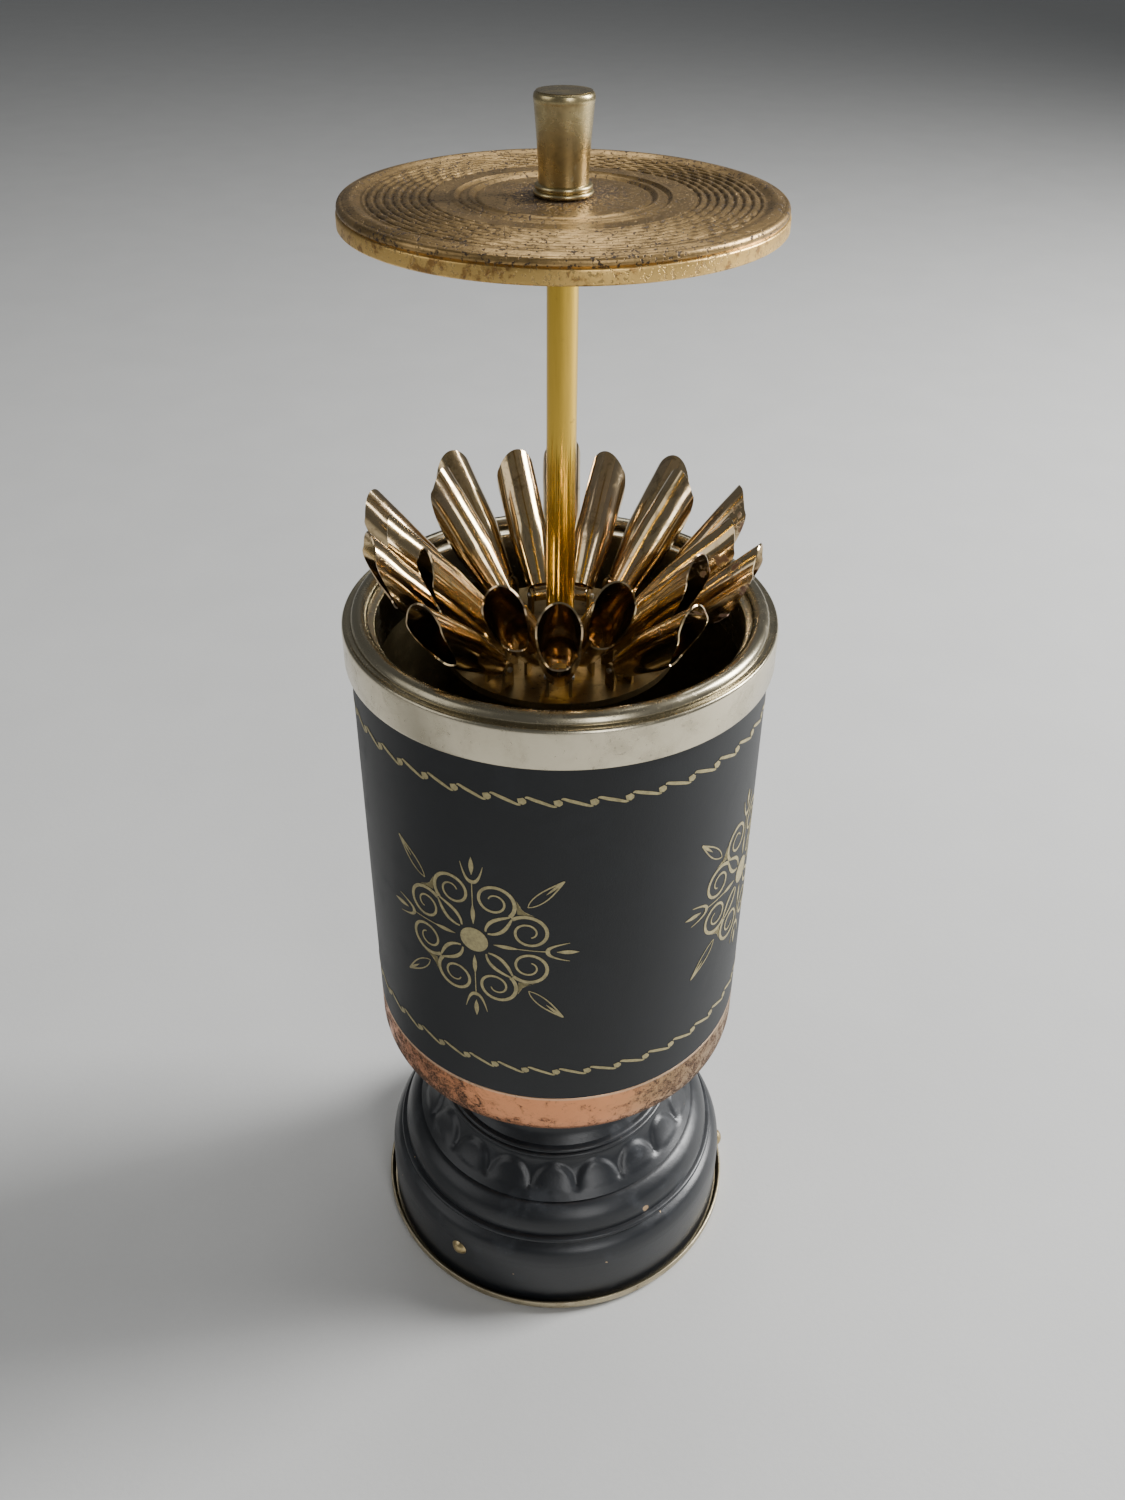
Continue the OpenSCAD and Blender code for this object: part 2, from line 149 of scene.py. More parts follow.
class CarouselColours(bpy.types.PropertyGroup):
    enamel: colour("Enamel", "Satin black enamel of the pedestal", 0.009, 0.0105, 0.0130)
    sleeve: colour("Sleeve", "Matte black covering of the cup", 0.0070, 0.0082, 0.0096)
    print: colour("Print", "Gold print on the sleeve", 0.42, 0.36, 0.19)
    nickel: colour("Rim nickel", "Champagne nickel of the rim", 0.70, 0.63, 0.47)
    copper: colour("Copper", "Copper of the band at the foot of the cup", 0.82, 0.36, 0.17)
    brass: colour("Brass", "Polished brass of the rod", 0.68, 0.44, 0.07)
    knob: colour("Knob", "Dull brassy plating of the knob", 0.54, 0.44, 0.23)
    aged: colour("Aged brass", "Darkened brass of the lid", 0.42, 0.275, 0.115)
    holder: colour("Holder brass", "Warm thin sheet of the holders", 0.60, 0.46, 0.26)
    champagne: colour("Champagne", "Pale gold edge of the winding tray", 0.50, 0.43, 0.29)


# ---- shader maths ----
class Value:
    """A socket of a material; arithmetic on it adds Math nodes."""

    def __init__(self, shader, socket):
        self.shader, self.socket = shader, socket

    def _with(self, operation, first, second):
        return self.shader.node("ShaderNodeMath", {"operation": operation}, {0: first, 1: second})

    def __add__(self, other):
        return self._with("ADD", self, other)

    def __sub__(self, other):
        return self._with("SUBTRACT", self, other)

    def __rsub__(self, other):
        return self._with("SUBTRACT", other, self)

    def __mul__(self, other):
        return self._with("MULTIPLY", self, other)

    __radd__ = __add__
    __rmul__ = __mul__


class Shader:
    """Builds one material from plain calls."""

    def __init__(self, name):
        self.material = bpy.data.materials.new(name)
        self.material.use_nodes = True
        self.tree = self.material.node_tree
        self.tree.nodes.clear()
        self.place = self.node("ShaderNodeTexCoord", output="Object")

    def node(self, kind, settings=None, sockets=None, output=0):
        """Adds a node: its settings first, then the values or links of its sockets."""
        node = self.tree.nodes.new(kind)
        for name, value in (settings or {}).items():
            if name == "stops":
                self._stops(node.color_ramp, value)
            else:
                setattr(node, name, value)
        for name, value in (sockets or {}).items():
            socket = self._socket(node.inputs, name)
            if isinstance(value, Value):
                self.tree.links.new(value.socket, socket)
            else:
                socket.default_value = value
        return Value(self, self._socket(node.outputs, output))

    def _socket(self, sockets, name):
        if isinstance(name, int):
            return sockets[name]
        return next(s for s in sockets if name in (s.identifier, s.name))

    def _stops(self, ramp, stops):
        while len(ramp.elements) < len(stops):
            ramp.elements.new(0.5)
        for element, (position, shade) in zip(ramp.elements, stops):
            element.position, element.color = position, (*shade, 1)

    def mapped(self, scale):
        return self.node("ShaderNodeMapping", None, {"Vector": self.place, "Scale": scale})

    def axis(self, name):
        return self.node("ShaderNodeSeparateXYZ", None, {0: self.place}, output=name)

    def noise(self, grain, detail=4, rough=0.55, at=None, warp=0.0):
        """Cloudy value from 0 to 1 whose blotches are about grain millimetres across."""
        return self.node("ShaderNodeTexNoise", None, {
            "Vector": at or self.place, "Scale": 1 / (grain * MM), "Detail": detail,
            "Roughness": rough, "Distortion": warp})

    def distance(self, spot):
        """Distance in metres from a place given in millimetres."""
        return self.node("ShaderNodeVectorMath", {"operation": "DISTANCE"},
                         {0: self.place, 1: Vector(spot) * MM}, output="Value")

    def ramp(self, value, low, high):
        """0 below low, 1 above high and smooth between; high may be the smaller one."""
        return self.node("ShaderNodeMapRange", {"interpolation_type": "SMOOTHSTEP"},
                         {"Value": value, "From Min": low, "From Max": high})

    def mix(self, amount, first, second):
        first, second = (c if isinstance(c, Value) else (*c, 1) for c in (first, second))
        return self.node("ShaderNodeMix", {"data_type": "RGBA"}, {
            "Factor_Float": amount, "A_Color": first, "B_Color": second}, output="Result_Color")

    def bump(self, height, depth):
        """Bump whose full height is depth millimetres."""
        return self.node("ShaderNodeBump", None, {
            "Height": height, "Distance": depth * MM, "Strength": 1.0})

    def finish(self, **sockets):
        """Joins a Principled surface to the output and returns the material."""
        named = {name.replace("_", " "): value for name, value in sockets.items()}
        surface = self.node("ShaderNodeBsdfPrincipled", None, named)
        output = self.tree.nodes.new("ShaderNodeOutputMaterial")
        self.tree.links.new(surface.socket, output.inputs["Surface"])
        return self.material


def shade(base, amount):
    """A colour made darker or lighter by a factor."""
    return tuple(min(1.0, channel * amount) for channel in base)


# ---- materials ----
CHIP = (23.8, -34.6, 26.2)  # one large flake off the bell's shoulder


def satin_enamel(base):
    """Black enamel with a soft sheen, rubbed patches and a few small chips down to the brass."""
    s = Shader("satin_enamel")
    rubbed = s.ramp(s.noise(9, 6, 0.62), 0.52, 0.72)
    scuffs = s.ramp(s.noise(1.1, 5, 0.7, warp=0.6), 0.58, 0.72) * rubbed
    flake = s.ramp(s.distance(CHIP) + s.noise(1.1, 3) * 0.0012, 0.0017, 0.0014)
    chips = s.ramp(s.noise(1.6, 2, 0.4) + s.noise(9, 2, 0.5) * 0.35, 0.985, 0.995) + flake
    grain = s.noise(0.5, 3, 0.6)
    black = s.mix(rubbed * 0.4 + scuffs * 0.6, base, (0.040, 0.045, 0.053))
    return s.finish(
        Base_Color=s.mix(chips, black, (0.55, 0.38, 0.22)),
        Metallic=chips * 0.8,
        Roughness=0.34 + rubbed * 0.12 + scuffs * 0.2 + grain * 0.06,
        Normal=s.bump(grain * 0.6 + scuffs * -0.9 + chips * -1.5 + s.noise(4, 2) * 0.8, 0.05),
        Coat_Weight=0.10, Coat_Roughness=0.28)


def matte_sleeve(base):
    """Matte black covering with a fine leather-paper tooth and faint handling marks."""
    s = Shader("matte_sleeve")
    tooth = s.noise(0.35, 3, 0.6)
    handled = s.ramp(s.noise(16, 5, 0.6, warp=0.4), 0.46, 0.70)
    specks = s.ramp(s.noise(0.9, 2, 0.5), 0.80, 0.84)
    return s.finish(
        Base_Color=s.mix(handled * 0.4 + specks * 0.5, base, (0.022, 0.024, 0.027)),
        Roughness=0.46 + handled * 0.08 + tooth * 0.08,
        Specular_IOR_Level=0.36,
        Normal=s.bump(tooth + s.noise(5, 3) * 0.8, 0.035))


def gold_print(base):
    """Thin metallic ink, mottled and worn darker in places."""
    s = Shader("gold_print")
    mottle = s.noise(0.8, 4, 0.7)
    worn = s.ramp(s.noise(3.5, 5, 0.65), 0.48, 0.72)
    tone = s.mix(s.ramp(mottle, 0.3, 0.7), shade(base, 0.8), shade(base, 1.2))
    return s.finish(
        Base_Color=s.mix(worn * 0.6, tone, shade(base, 0.35)),
        Metallic=0.65 - worn * 0.3, Roughness=0.42 + mottle * 0.2,
        Normal=s.bump(mottle, 0.02))


def plated(name, base, dull, roughness, tarnish, grain, specks, darker_above=None):
    """Bright plated metal with cloudy tarnish, fine scratches and dark specks.

    Above the height darker_above, in millimetres, it takes the dull tone."""
    s = Shader(name)
    cloud = s.ramp(s.noise(grain, 6, 0.62, warp=0.5), 0.40, 0.72)
    hair = s.noise(0.5, 4, 0.7, at=s.mapped((0.06, 0.06, 1.0)))
    fine = s.noise(0.28, 3, 0.65)
    spots = s.ramp(s.noise(0.9, 3, 0.6) + cloud * 0.10, 0.66, 0.74) * specks
    tone = s.mix(cloud * tarnish, base, dull)
    tone = s.mix(hair * 0.25, tone, shade(base, 0.82))
    if darker_above:
        above = s.ramp(s.axis("Z"), (darker_above - 0.2) * MM, (darker_above + 0.2) * MM)
        tone = s.mix(above * 0.62, tone, dull)
    return s.finish(
        Base_Color=s.mix(spots, tone, shade(dull, 0.35)),
        Metallic=1.0 - spots * 0.6,
        Roughness=roughness + cloud * (0.22 * tarnish) + spots * 0.35 + hair * 0.08,
        Normal=s.bump(hair * 0.35 + fine * 0.25 + spots * -1.2, 0.02))


def worn_copper(base):
    """Copper band: brown mottling, dark pitted wear near its lower edge, brassy towards +X."""
    s = Shader("worn_copper")
    height = s.axis("Z")
    low = s.ramp(height, (BAND_LOW + 9) * MM, (BAND_LOW + 1) * MM)
    side = s.ramp(s.axis("X"), -0.004, -0.030) + s.ramp(s.axis("X"), 0.010, 0.034)
    blotch = s.noise(3.4, 8, 0.70, warp=0.9)
    pits = s.noise(0.5, 5, 0.72)
    brown = s.ramp(blotch + low * 0.12 + side * 0.20, 0.50, 0.78)
    wear = s.ramp(blotch * 0.55 + pits * 0.6 + low * 0.13 + side * 0.10, 0.645, 0.74)
    lip = s.ramp(height, (BAND_LOW + 2.9) * MM, (BAND_LOW + 2.4) * MM)
    brassy = s.ramp(s.axis("X") + s.noise(12, 4) * 0.022, 0.018, 0.044)
    edge = s.ramp(height, (BAND_TOP - 0.9) * MM, (BAND_TOP - 0.3) * MM)
    clean = s.mix(s.noise(5, 5, 0.6) * 0.6, base, (0.62, 0.23, 0.10))
    clean = s.mix(brassy * 0.85, clean, (0.40, 0.30, 0.15))
    clean = s.mix(brown * 0.75, clean, (0.20, 0.10, 0.055))
    worn = s.mix(wear * 0.9, clean, (0.055, 0.030, 0.018))
    return s.finish(
        Base_Color=s.mix(edge * 0.7 + lip * 0.6, worn, (0.74, 0.52, 0.34)),
        Metallic=0.97 - wear * 0.5,
        Roughness=0.30 + brown * 0.12 + wear * 0.30,
        Normal=s.bump(pits * 0.7 - wear, 0.05))


def aged_lid(base):
    """Stamped brass lid: brown film, dark corroded specks, golden turned-down edge with rust."""
    s = Shader("aged_lid")
    film = s.noise(7, 7, 0.66, warp=0.6)
    dots = s.noise(0.75, 3, 0.6)
    radius = s.node("ShaderNodeVectorMath", {"operation": "LENGTH"}, {0: s.mapped((1, 1, 0))},
                    output="Value")
    centre = s.ramp(radius, 15 * MM, 6 * MM)
    first, last = GROOVES[0], GROOVES[-1]
    grooved = (s.ramp(radius, (first - 1.2) * MM, (first - 0.4) * MM)
               * s.ramp(radius, (last + 0.95) * MM, (last + 0.15) * MM))
    turns = s.node("ShaderNodeMath", {"operation": "COSINE"},
                   {0: (radius - first * MM) * (TAU / (GROOVE_PITCH * MM))})
    # Dark rings along the fine grooves: painted shade in the grooves.
    groove_shade = s.ramp(turns + s.noise(1.8, 4, 0.7) * 1.6, 0.9, 1.7) * grooved
    specks = s.ramp(dots + film * 0.24 + centre * 0.13, 0.69, 0.735)
    edge = s.ramp(s.axis("Z"), (LID_TOP - 1.2) * MM, (LID_TOP - 2.0) * MM)
    tone = s.mix(s.ramp(film, 0.34, 0.62), shade(base, 1.2), shade(base, 0.6))
    tone = s.mix(s.ramp(s.noise(0.45, 4, 0.7), 0.45, 0.7) * 0.5, tone, shade(base, 0.5))
    tone = s.mix(groove_shade * 0.62, tone, shade(base, 0.22))
    tone = s.mix(edge * 0.9, tone, (0.84, 0.55, 0.18))
    rust = s.ramp(s.noise(3.2, 6, 0.7), 0.52, 0.64) * edge
    tone = s.mix(rust * 0.75, tone, (0.26, 0.12, 0.045))
    return s.finish(
        Base_Color=s.mix(specks * (0.92 - edge * 0.5), tone, (0.035, 0.021, 0.013)),
        Metallic=1.0 - specks * 0.7,
        Roughness=0.30 + film * 0.16 + specks * 0.3,
        Normal=s.bump(s.noise(0.4, 3, 0.6) * 0.6 + specks * -1.4, 0.05))


def rolled_brass(base, inside):
    """Thin rolled sheet: bronze clouds, brown stains and, towards +X, a reddish crust."""
    s = Shader("rolled_brass_inside_oxide_and_shade" if inside else "rolled_brass")
    rosy = s.ramp(s.noise(13, 4, 0.6), 0.42, 0.66)
    stain = s.ramp(s.noise(3.4, 7, 0.70, warp=0.9), 0.48, 0.68)
    speck = s.ramp(s.noise(0.7, 3, 0.6), 0.64, 0.72)
    side = s.ramp(s.axis("X") - s.axis("Y") * 0.4, 0.020, 0.040)
    crust = s.ramp(s.noise(5, 6, 0.66) + side * 0.10, 0.66, 0.72) * side
    tone = s.mix(rosy * 0.5, base, (0.60, 0.42, 0.28))
    tone = s.mix(stain * 0.7, tone, (0.16, 0.115, 0.055))
    # With inside set, the inner face is darkened: partly oxidised brass, partly painted shade of
    # the tube's interior.
    if inside:
        tone = s.mix(0.7, tone, (0.085, 0.070, 0.042))
    tone = s.mix(speck * 0.4, tone, (0.08, 0.048, 0.02))
    return s.finish(
        Base_Color=s.mix(crust * 0.85, tone, (0.10, 0.030, 0.022)),
        Metallic=1.0 - crust * 0.75,
        Roughness=(0.28 if inside else 0.13) + stain * 0.14 + speck * 0.10 + crust * 0.4,
        Normal=s.bump(s.noise(9, 2) * 0.6 + s.noise(0.4, 3) * 0.06 + crust * s.noise(0.5, 4) * 1.5,
                      0.04))


def polished_rod(base):
    """Bright brass tube with drawn lengthwise lines and slight spotting."""
    s = Shader("polished_rod")
    drawn = s.noise(0.35, 4, 0.65, at=s.mapped((1, 1, 0.03)))
    spots = s.ramp(s.noise(1.3, 4, 0.6), 0.64, 0.74)
    tone = s.mix(s.ramp(drawn, 0.4, 0.75) * 0.4, base, shade(base, 0.72))
    return s.finish(
        Base_Color=s.mix(spots * 0.4, tone, (0.32, 0.22, 0.08)),
        Metallic=1.0, Roughness=0.11 + drawn * 0.12 + spots * 0.12,
        Normal=s.bump(drawn, 0.015))


def green_felt():
    s = Shader("green_felt")
    fibre = s.noise(0.5, 6, 0.8, warp=1.5)
    return s.finish(Base_Color=s.mix(fibre, (0.012, 0.05, 0.025), (0.04, 0.12, 0.06)),
                    Roughness=0.95, Normal=s.bump(fibre, 0.2))


def turned_beech():
    s = Shader("turned_beech")
    rings = s.noise(2.2, 5, 0.6, at=s.mapped((1, 0.12, 1)), warp=0.7)
    return s.finish(Base_Color=s.mix(rings, (0.50, 0.33, 0.18), (0.68, 0.50, 0.31)),
                    Roughness=0.55 + rings * 0.15, Normal=s.bump(rings, 0.08))


def pressed_fibre(name, base):
    s = Shader(name)
    mottle = s.noise(1.2, 6, 0.7)
    return s.finish(Base_Color=s.mix(mottle, shade(base, 0.7), shade(base, 1.3)),
                    Roughness=0.72 + mottle * 0.15, Normal=s.bump(mottle, 0.06))


def pale_floor():
    s = Shader("pale_floor")
    cloud = s.noise(45, 6, 0.6)
    speck = s.noise(1.6, 3, 0.6)
    shades = (0.50, 0.50, 0.49), (0.60, 0.60, 0.585)
    return s.finish(Base_Color=s.mix(cloud * 0.6 + speck * 0.25, *shades),
                    Roughness=0.62 + cloud * 0.08, Normal=s.bump(speck, 0.05))


# ---- modelling helpers ----
def shares(count):
    """Even steps from 0 to 1, both ends included."""
    return [i / count for i in range(count + 1)]


def pick(piece):
    """Makes a piece the only selected one and the active one."""
    bpy.ops.object.select_all(action="DESELECT")
    piece.select_set(True)
    bpy.context.view_layer.objects.active = piece


def edit(piece):
    pick(piece)
    bpy.ops.object.mode_set(mode="EDIT")
    bpy.ops.mesh.select_all(action="SELECT")


def leave():
    bpy.ops.object.mode_set(mode="OBJECT")


def primitive(name, add, **settings):
    """Adds a primitive with nothing else selected."""
    bpy.ops.object.select_all(action="DESELECT")
    add(**settings)
    piece = bpy.context.object
    piece.name = piece.data.name = name
    return piece


def flowing(*runs):
    """Joins runs of (radius, height) points. A run of three or more points becomes one smooth
    curve through them; runs meet in creases."""
    outline = []
    for run in runs:
        points = [Vector((r, 0, z)) for r, z in run]
        if len(points) > 2:
            points = smoothed(points)
        for point in points:
            if not outline or (point - outline[-1]).length > 1e-4:
                outline.append(point)
    return outline


def smoothed(points, steps=5):
    """Catmull-Rom curve through points."""
    ends = [points[0] * 2 - points[1], *points, points[-1] * 2 - points[-2]]
    curve = []
    for a, b, c, d in zip(ends, ends[1:], ends[2:], ends[3:]):
        for k in range(steps):
            t = k / steps
            curve.append(0.5 * (2 * b + (c - a) * t + (2 * a - 5 * b + 4 * c - d) * t * t
                                + (3 * b - a - 3 * c + d) * t ** 3))
    return [*curve, points[-1]]


def turned(name, outline, steps, closed=True):
    """Draws an outline point by point and spins it about the upright axis."""
    piece = primitive(name, bpy.ops.mesh.primitive_plane_add, size=MM, location=(0, 0, 0))
    edit(piece)
    bpy.ops.mesh.merge(type="CENTER")
    bpy.ops.transform.translate(value=outline[0] * MM)
    course = [*outline, outline[0]] if closed else outline
    for here, there in zip(course, course[1:]):
        bpy.ops.mesh.extrude_vertices_move(TRANSFORM_OT_translate={"value": (there - here) * MM})
    bpy.ops.mesh.select_all(action="SELECT")
    bpy.ops.mesh.spin(steps=steps, angle=TAU, center=(0, 0, 0), axis=(0, 0, 1))
    bpy.ops.mesh.select_all(action="SELECT")
    bpy.ops.mesh.remove_doubles(threshold=0.004 * MM)
    bpy.ops.mesh.normals_make_consistent(inside=False)
    leave()
    soften(piece)
    return piece


def soften(piece, angle=32):
    pick(piece)
    bpy.ops.object.shade_smooth_by_angle(angle=math.radians(angle))


def modify(piece, kind, **settings):
    """Adds a modifier and applies it."""
    pick(piece)
    modifier = piece.modifiers.new(kind.title(), kind)
    for name, value in settings.items():
        setattr(modifier, name, value)
    bpy.ops.object.modifier_apply(modifier=modifier.name)


def sculpt(piece, move):
    """Moves every vertex from its place, in millimetres, to move(place)."""
    for vertex in piece.data.vertices:
        vertex.co = move(vertex.co / MM) * MM


def joined(pieces):
    pick(pieces[0])
    for piece in pieces[1:]:
        piece.select_set(True)
    bpy.ops.object.join()
    return pieces[0]


def copy_of(piece):
    """A copy with its own mesh."""
    copy = piece.copy()
    copy.data = piece.data.copy()
    bpy.context.scene.collection.objects.link(copy)
    return copy


def settle(piece, body, slot, material, *nodes):
    """Gives a piece its material, body and the nodes it stands for; slot is not used."""
    if material:
        piece.data.materials.clear()
        piece.data.materials.append(material)
    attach(piece, body)
    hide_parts(*nodes)
    return piece


def smooth(value):
    """Smooth step from 0 to 1."""
    value = min(1.0, max(0.0, value))
    return value * value * (3 - 2 * value)


def bell_curve(distance, width):
    return math.exp(-(distance / width) ** 2)


def polar(place):
    return math.hypot(place.x, place.y), math.atan2(place.y, place.x)


# ---- turned shells ----
def bell_outline():
    """Wall and shoulder, fine bead, convex tier, petal band, double bead and flared neck."""
    r, n = BELL_R, NECK_R
    band = [(r - 9.3 - 6.3 * math.sin(1.35 * t) / math.sin(1.35), PETAL_LOW + 8.2 * t)
            for t in shares(26)]
    return flowing(
        [(r, BELL_LOW), (r, 16.4)],
        [(r, 16.4), (r - 0.4, 19.0), (r - 1.5, 21.4), (r - 3.5, 23.0)],
        [(r - 3.5, 23.0), (r - 2.8, 23.6), (r - 3.0, 24.4), (r - 4.1, 24.7)],
        [(r - 4.1, 24.7), (r - 4.4, 27.2), (r - 5.6, 29.8), (r - 7.6, 31.7), (r - 9.1, 32.3)],
        [(r - 9.1, 32.3), band[0]], *[[a, b] for a, b in zip(band, band[1:])],
        [(n + 5.0, 40.6), (n + 4.5, 41.3)],
        [(n + 4.5, 41.3), (n + 5.3, 41.8), (n + 5.2, 42.5), (n + 4.3, 42.8)],
        [(n + 4.3, 42.8), (n + 4.7, 43.2), (n + 4.3, 43.8), (n + 3.1, 44.1)],
        [(n + 3.1, 44.1), (n + 1.3, 46.2), (n + 0.4, 49.2), (n, 52.6), (n + 0.5, 56.8),
         (n + 2.0, 60.8), (n + 4.4, 64.2), (n + 7.2, BELL_TOP)],
        [(n + 7.2, BELL_TOP), (NECK_BORE, BELL_TOP)],
        [(NECK_BORE, BELL_TOP - BELL_SHEET), (n + 4.0, BELL_TOP - 1.6)],
        [(n - BELL_SHEET, 57), (n - BELL_SHEET, 48)],
        [(n + 2.4, 42), (n + 6.0, 33.0)], [(r - 7.0, 26.0), (r - 1.4, 19)],
        [(r - BELL_SHEET, BELL_LOW)])


def raise_petals(piece, count, depth):
    """Pushes soft round petals out of the band, with sharp V-shaped valleys between them."""
    pitch = TAU / count

    def move(place):
        radius, angle = polar(place)
        if not (PETAL_LOW < place.z < PETAL_TOP + 0.8 and radius > NECK_R + 4):
            return place
        across = ((angle - PETAL_VALLEY) / pitch) % 1 * 2 - 1
        arch = PETAL_FOOT + (PETAL_TOP - PETAL_FOOT) * math.sqrt(max(0.0, 1 - across * across))
        rise = smooth((arch - place.z + 0.3) / 2.3) * (1 - 0.85 * abs(across) ** 3)
        below = smooth((PETAL_FOOT + 0.9 - place.z) / 1.1)
        out = depth / MM * (rise + (0.75 - rise) * below)
        return Vector((place.x * (1 + 0.8 * out / radius), place.y * (1 + 0.8 * out / radius),
                       place.z + 0.35 * out))

    sculpt(piece, move)


def rim_outline():
    """Satin band, bright fillet, groove, heavy bead, inner ledge and skirt."""
    r, m, top = RIM_R, MOUTH_R, RIM_TOP
    return flowing(
        [(m, RIM_LOW), (m, top - 4.2)],
        [(m, top - 4.2), (m + 0.25, top - 3.3), (m + 1.1, top - 2.9)],
        [(m + 1.1, top - 2.9), (m + 1.5, top - 2.6)],
        [(m + 1.5, top - 2.6), (m + 1.55, top - 1.3), (m + 2.4, top - 0.25), (m + 3.4, top),
         (m + 4.5, top - 0.45), (m + 5.1, top - 1.3), (m + 5.25, top - 2.0)],
        [(m + 5.25, top - 2.0), (r - 1.1, top - 2.15)],
        [(r - 1.1, top - 2.15), (r - 0.45, top - 2.0), (r - 0.08, top - 2.5), (r, top - 3.3)],
        [(r, top - 3.3), (r, RIM_LOW + 3.6)],
        [(r, RIM_LOW + 3.6), (r - 0.15, RIM_LOW + 3.0), (r - 0.6, RIM_LOW + 2.7)],
        [(r - 1.08, RIM_LOW + 2.7), (r - 1.08, top - 3.9)],
        [(m + 0.7, top - 3.9), (m + 0.7, RIM_LOW)])


def band_outline():
    r, low, top = BAND_R, BAND_LOW, BAND_TOP
    return flowing(
        [(NECK_BORE, low), (r - 6.8, low)],
        [(r - 6.8, low), (r - 4.2, low + 0.55), (r - 2.0, low + 2.0), (r - 0.55, low + 4.2),
         (r, low + 6.8)],
        [(r, low + 6.8), (r, top - 0.5)],
        [(r, top - 0.5), (r - 0.1, top - 0.1), (r - 0.35, top)],
        [(r - SHEET, top), (r - SHEET, low + 6.9)],
        [(r - SHEET, low + 6.9), (r - 1.3, low + 4.5), (r - 2.6, low + 2.6), (r - 4.6, low + 1.3),
         (r - 6.9, low + SHEET)],
        [(NECK_BORE, low + SHEET)])


def tray_outline():
    r, low, top = TRAY_R, TRAY_LOW, TRAY_TOP
    return flowing(
        [(TRAY_BORE, low), (r - 1.4, low)],
        [(r - 1.4, low), (r - 0.4, low + 0.35), (r, low + 1.2)],
        [(r, low + 1.2), (r, top - 0.35)],
        [(r, top - 0.35), (r - 0.12, top - 0.05), (r - 0.4, top), (r - 0.62, top - 0.1),
         (r - 0.7, top - 0.4)],
        [(r - 0.7, low + 1.5), (r - 1.4, low + SHEET)], [(TRAY_BORE, low + SHEET)])


def sleeve_outline():
    r = SLEEVE_R
    return flowing([(r - SHEET, SLEEVE_LOW), (r - 0.1, SLEEVE_LOW)], [(r, SLEEVE_LOW + 0.1)],
                   [(r, SLEEVE_TOP - 0.1)], [(r - 0.1, SLEEVE_TOP), (r - SHEET, SLEEVE_TOP)])


def knob_outline():
    """Double collar bead, waisted body widening upwards and a flat top with a crisp edge."""
    k, low, top = KNOB_R, LID_TOP + 0.02, KNOB_TOP
    return flowing(
        [(STUD_BORE, low), (k - 0.5, low)],
        [(k - 0.5, low), (k - 0.02, low + 0.35), (k - 0.02, low + 0.85), (k - 0.45, low + 1.15)],
        [(k - 0.45, low + 1.15), (k - 0.2, low + 1.45), (k - 0.3, low + 1.95),
         (k - 0.85, low + 2.2)],
        [(k - 0.85, low + 2.2), (k - 0.82, low + 5), (k - 0.5, low + 10), (k - 0.1, top - 2.0)],
        [(k - 0.1, top - 2.0), (k, top - 1.2), (k - 0.12, top - 0.5), (k - 0.5, top - 0.12)],
        [(k - 0.5, top - 0.12), (k - 0.9, top - 0.05), (0, top)],
        [(0, top - 3.6), (STUD_BORE, top - 3.6)])


def lid_height(radius):
    """Height of the lid's upper face above its plain level, turned features only."""
    edge = LID_R - 2.7
    rings = sum(0.26 * bell_curve(radius - ring - 0.5, 0.36)
                - 0.34 * bell_curve(radius - ring + 0.35, 0.4) for ring in RINGS)
    return (rings + 0.40 * bell_curve(radius - edge, 0.9)
            - 0.22 * bell_curve(radius - edge + 1.8, 0.6))


def lid_outline():
    r, top, low = LID_R, LID_TOP, LID_LOW
    radii = [STUD_BORE]
    while radii[-1] < r - 1.6:
        grooved = GROOVES[0] - 1.2 < radii[-1] < GROOVES[-1] + 1.2
        radii.append(radii[-1] + (0.18 if grooved else 0.36))
    upper = [[(radius, top + lid_height(radius))] for radius in radii]
    return flowing(
        *upper,
        [(r - 1.3, top), (r - 0.7, top - 0.12), (r - 0.3, top - 0.5), (r - 0.2, top - 1.1),
         (r - 0.45, top - 1.55)],
        [(r - 0.45, top - 1.55), (r - 0.1, top - 1.8), (r, top - 2.3)],
        [(r, top - 2.3), (r, low + 0.25)], [(r - 0.2, low), (r - 0.7, low)],
        [(r - 0.7, top - 1.8), (r - 1.7, top - SHEET)], [(STUD_BORE, top - SHEET)])


def cut_grooves(piece, depth):
    """Fine rings in the lid, broken into short dashes, and a stippled middle."""
    def move(place):
        radius, angle = polar(place)
        if place.z < LID_TOP - 0.5 or radius > LID_R - 4:
            return place
        drop = 0.0
        for number, groove in enumerate(GROOVES):
            dash = ((angle / TAU) * DASHES + 0.41 * number) % 1
            gate = 0.35 + 0.65 * smooth(dash / 0.14) * smooth((0.84 - dash) / 0.14)
            drop += gate * (bell_curve(radius - groove, 0.26)
                            - 0.5 * bell_curve(radius - groove - 0.6, 0.28))
        stipple = max(0.0, noise.noise(place * 1.6)) * smooth((12.5 - radius) / 4)
        place.z -= depth / MM * drop + 0.28 * stipple
        return place

    sculpt(piece, move)


# ---- gold print ----
def stroke(bm, points, widths):
    """A flat ribbon through points, as wide at each as widths says."""
    sides = []
    for i, point in enumerate(points):
        along = (points[min(i + 1, len(points) - 1)] - points[max(i - 1, 0)]).normalized()
        across = Vector((-along.y, along.x)) * widths[i] / 2
        sides.append((bm.verts.new((*(point + across), 0)), bm.verts.new((*(point - across), 0))))
    for (a, b), (c, d) in zip(sides, sides[1:]):
        bm.faces.new((b, d, c, a))


def patch(bm, points):
    """A flat filled outline, fanned from its middle."""
    middle = bm.verts.new((*(sum(points, Vector((0, 0))) / len(points)), 0))
    ring = [bm.verts.new((*point, 0)) for point in points]
    for a, b in zip(ring, ring[1:] + ring[:1]):
        bm.faces.new((middle, a, b))


